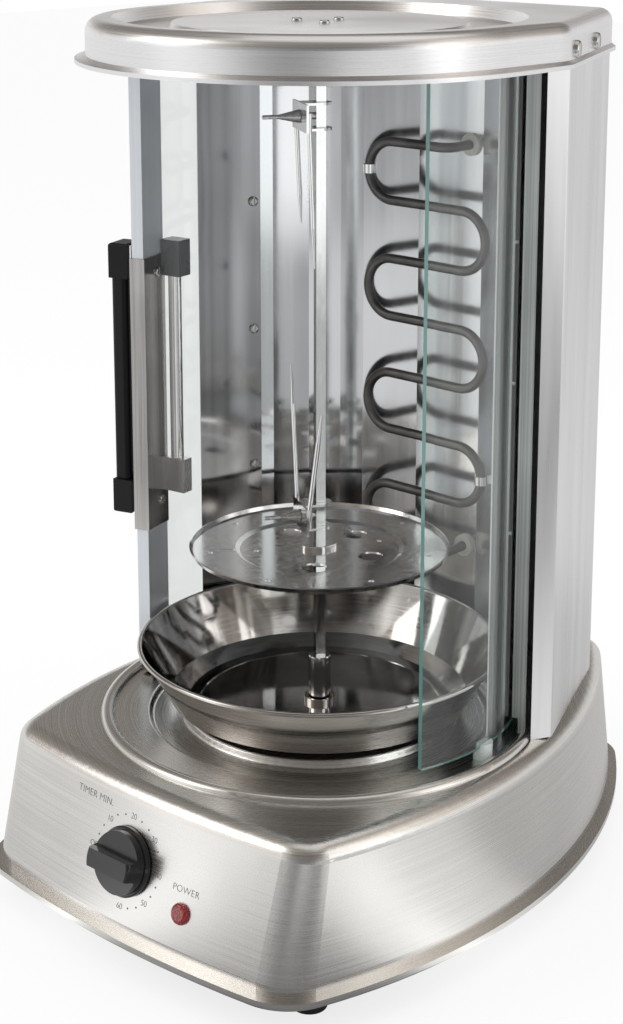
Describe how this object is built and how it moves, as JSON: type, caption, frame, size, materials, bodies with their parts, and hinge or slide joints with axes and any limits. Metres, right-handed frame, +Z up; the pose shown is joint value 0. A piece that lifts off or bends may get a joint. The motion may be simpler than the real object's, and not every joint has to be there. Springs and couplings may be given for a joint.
{
  "type": "doner kebab grill",
  "caption": "Vertical electric doner grill: round glass chamber, turning spit over a drip tray, rear tube heater, steel base with timer dial.",
  "frame": {"origin": "on the spit's axis at table height, under the feet", "axes": "+Z up along the spit, -Y towards the control panel, +X to the right of a person facing the panel"},
  "size_m": [0.332, 0.4274, 0.558],
  "materials": {
    "brushed_shell": "fine brushed stainless sheet",
    "polished_steel": "polished stainless sheet",
    "mirror_steel": "mirror polished reflector sheet",
    "chrome_steel": "bright chrome",
    "zinc_plate": "plain zinc coated sheet",
    "screw_steel": "bright zinc coated fastener",
    "satin_aluminium": "satin aluminium section",
    "door_glass": "clear tempered glass with green edges",
    "black_rubber": "matt black rubber",
    "black_plastic": "satin black plastic",
    "white_plastic": "off-white plastic",
    "red_lens": "clear red lens",
    "glider_nylon": "pale natural nylon",
    "dark_bracket": "dark grey painted steel",
    "motor_can": "plain steel can",
    "bronze": "sintered bronze",
    "ceramic": "white ceramic",
    "heater_sheath": "satin stainless heater sheath"
  },
  "bodies": {
    "base": {"base_shell": "brushed_shell", "base_plate": "zinc_plate", "rubber_feet": "black_rubber", "foot_screws": "screw_steel", "plate_screws": "screw_steel", "motor_bridge": "zinc_plate", "bridge_screws": "screw_steel", "drive_motor": "motor_can", "motor_screws": "screw_steel", "shaft_bush": "bronze", "timer_body": "zinc_plate", "timer_screws": "screw_steel", "lamp_lens": "red_lens", "lamp_body": "white_plastic", "terminal_block": "white_plastic", "cable_gland": "black_plastic", "rear_casing": "brushed_shell", "casing_screws": "screw_steel", "reflector_side_left": "mirror_steel", "reflector_side_right": "mirror_steel", "reflector_corner_left": "mirror_steel", "reflector_corner_right": "mirror_steel", "reflector_rear": "mirror_steel", "reflector_screws": "screw_steel", "heating_element": "heater_sheath", "heater_clips": "polished_steel", "heater_terminals": "ceramic", "lid_shell": "brushed_shell", "lid_ceiling": "zinc_plate", "ceiling_posts": "screw_steel", "door_track": "zinc_plate", "lid_side_screws": "screw_steel", "top_bearing": "black_plastic", "top_bearing_screws": "screw_steel", "door_gliders": "glider_nylon"},
    "drive": {"motor_shaft": "screw_steel", "motor_coupling": "chrome_steel"},
    "spit": {"spit_rod": "chrome_steel", "drive_socket": "chrome_steel", "socket_screw": "screw_steel", "spit_disc": "polished_steel", "disc_hub": "chrome_steel"},
    "upper_fork": {"upper_fork": "polished_steel"},
    "upper_fork_screw": {"upper_fork_screw": "chrome_steel"},
    "lower_fork": {"lower_fork": "polished_steel"},
    "lower_fork_screw": {"lower_fork_screw": "chrome_steel"},
    "drip_tray": {"drip_tray": "polished_steel"},
    "timer_knob": {"timer_shaft": "screw_steel", "timer_knob": "black_plastic"},
    "left_door": {"left_glass": "door_glass", "left_door_profile": "satin_aluminium", "handle_channel": "polished_steel", "handle_grip": "black_plastic", "handle_clips": "polished_steel", "handle_brackets": "dark_bracket", "handle_rod": "polished_steel", "handle_screws": "screw_steel", "roller_bracket": "polished_steel"},
    "left_roller": {"left_roller": "black_plastic"},
    "right_door": {"right_glass": "door_glass"}
  },
  "joints": [
    {"name": "motor_turn", "type": "hinge", "parent": "base", "child": "drive", "pos_m": [0, 0, 0.09], "axis": [0, 0, 1], "continuous": true},
    {"name": "spit_lift", "type": "slide", "parent": "drive", "child": "spit", "axis": [0, 0, 1], "range_m": [0, 0.006]},
    {"name": "upper_fork_slide", "type": "slide", "parent": "spit", "child": "upper_fork", "axis": [0, 0, 1], "range_m": [-0.035, 0.018]},
    {"name": "upper_fork_screw_turn", "type": "hinge", "parent": "upper_fork", "child": "upper_fork_screw", "pos_m": [-0.00708, -0.0109, 0.497], "axis": [-0.5446, -0.8387, 0], "range_deg": [0, 450]},
    {"name": "lower_fork_slide", "type": "slide", "parent": "spit", "child": "lower_fork", "axis": [0, 0, 1], "range_m": [-0.008, 0.03]},
    {"name": "lower_fork_screw_turn", "type": "hinge", "parent": "lower_fork", "child": "lower_fork_screw", "pos_m": [-0.00708, -0.0109, 0.241], "axis": [-0.5446, -0.8387, 0], "range_deg": [0, 450]},
    {"name": "drip_tray_lift", "type": "slide", "parent": "base", "child": "drip_tray", "axis": [0, 0, 1], "range_m": [0, 0.028]},
    {"name": "timer_knob_turn", "type": "hinge", "parent": "base", "child": "timer_knob", "pos_m": [0, -0.17307, 0.0668], "axis": [0, 0.9703, -0.2419], "range_deg": [0, 267.6]},
    {"name": "left_door_turn", "type": "hinge", "parent": "base", "child": "left_door", "pos_m": [0, 0, 0.118], "axis": [0, 0, 1], "range_deg": [0, 68]},
    {"name": "left_roller_turn", "type": "hinge", "parent": "left_door", "child": "left_roller", "pos_m": [-0.12183, -0.03586, 0.1136], "axis": [-0.9593, -0.2823, 0], "range_deg": [-2400, 0]},
    {"name": "right_door_turn", "type": "hinge", "parent": "base", "child": "right_door", "pos_m": [0, 0, 0.118], "axis": [0, 0, 1], "range_deg": [-69.5, 0]}
  ],
  "couplings": [
    {"joint": "left_roller_turn", "follows": "left_door_turn", "ratio": -35.278}
  ]
}
